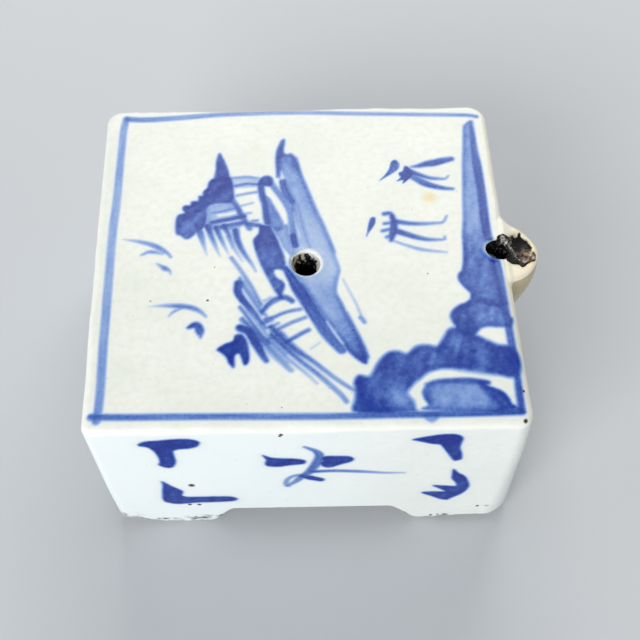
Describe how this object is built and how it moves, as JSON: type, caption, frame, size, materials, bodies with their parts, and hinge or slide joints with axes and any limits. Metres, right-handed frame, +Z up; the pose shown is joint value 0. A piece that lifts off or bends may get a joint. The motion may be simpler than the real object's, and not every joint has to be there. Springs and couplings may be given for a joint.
{
  "type": "calligraphy water dropper",
  "caption": "Square blue and white porcelain water dropper on bracket feet, with an air hole in the top and a half-round spout for wetting an inkstone drop by drop.",
  "frame": {"origin": "on the surface that the feet stand on, under the middle of the whole object's bounding box, spout included", "axes": "+Z up, +X towards the spout, -Y towards the front wall"},
  "size_m": [0.0676, 0.06, 0.033],
  "materials": {
    "glazed_porcelain": "clear glaze over white porcelain, painted in cobalt blue under the glaze",
    "bare_porcelain": "unglazed fired porcelain, matt and slightly gritty"
  },
  "bodies": {
    "root": {"top_slab": "glazed_porcelain", "front_wall": "glazed_porcelain", "right_wall": "glazed_porcelain", "back_wall": "glazed_porcelain", "left_wall": "glazed_porcelain", "base_slab": "bare_porcelain", "spout": "glazed_porcelain", "corner_coil_front_left": "bare_porcelain", "corner_coil_front_right": "bare_porcelain", "corner_coil_back_right": "bare_porcelain", "corner_coil_back_left": "bare_porcelain", "base_coil_front": "bare_porcelain", "base_coil_right": "bare_porcelain", "base_coil_back": "bare_porcelain", "base_coil_left": "bare_porcelain"}
  },
  "joints": []
}
